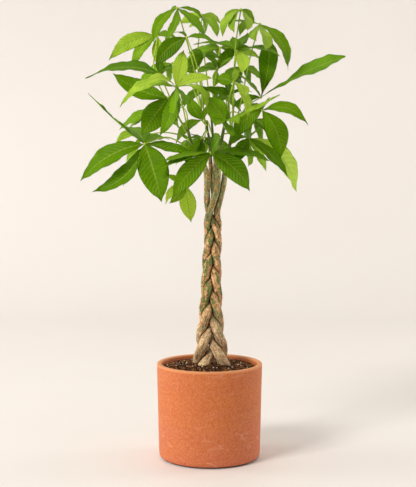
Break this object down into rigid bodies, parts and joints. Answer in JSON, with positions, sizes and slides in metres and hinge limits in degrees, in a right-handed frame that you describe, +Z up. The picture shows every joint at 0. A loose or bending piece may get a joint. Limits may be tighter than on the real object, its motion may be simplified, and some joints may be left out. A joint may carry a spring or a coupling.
{
  "type": "potted braided money tree",
  "caption": "Small indoor tree with a braided trunk and a round crown of palmate leaves, standing in soil in a plain terracotta cylinder pot.",
  "frame": {"origin": "middle of the pot's flat underside", "axes": "+Z up along the trunk, +Y away from the viewer of the picture, +X to the viewer's right"},
  "size_m": [0.4419, 0.3292, 0.7666],
  "materials": {
    "terracotta": "matte",
    "soil": "matte",
    "bark": "matte",
    "leaf_dark": "satin",
    "leaf_mid": "satin",
    "leaf_young": "satin"
  },
  "bodies": {
    "root": {"pot": "terracotta", "soil": "soil", "stem_1_left": "bark", "stem_2_back_left": "bark", "stem_3_back": "bark", "stem_4_front": "bark", "stem_5_right": "bark", "leaf_01": "leaf_mid", "leaf_02": "leaf_young", "leaf_03": "leaf_young", "leaf_04": "leaf_mid", "leaf_05": "leaf_young", "leaf_06": "leaf_dark", "leaf_07": "leaf_young", "leaf_08": "leaf_dark", "leaf_09": "leaf_mid", "leaf_10": "leaf_mid", "leaf_11": "leaf_dark", "leaf_12": "leaf_dark", "leaf_13": "leaf_mid", "leaf_14": "leaf_young", "leaf_15": "leaf_dark", "leaf_16": "leaf_dark", "leaf_17": "leaf_young", "leaf_18": "leaf_dark", "leaf_19": "leaf_mid", "leaf_20": "leaf_dark", "leaf_21": "leaf_mid", "leaf_22": "leaf_young", "leaf_23": "leaf_dark", "leaf_24": "leaf_dark", "leaf_25": "leaf_young", "leaf_26": "leaf_dark", "leaf_27": "leaf_mid", "leaf_28": "leaf_dark", "leaf_29": "leaf_mid", "leaf_30": "leaf_dark", "leaf_31": "leaf_mid", "leaf_32": "leaf_dark"}
  },
  "joints": []
}
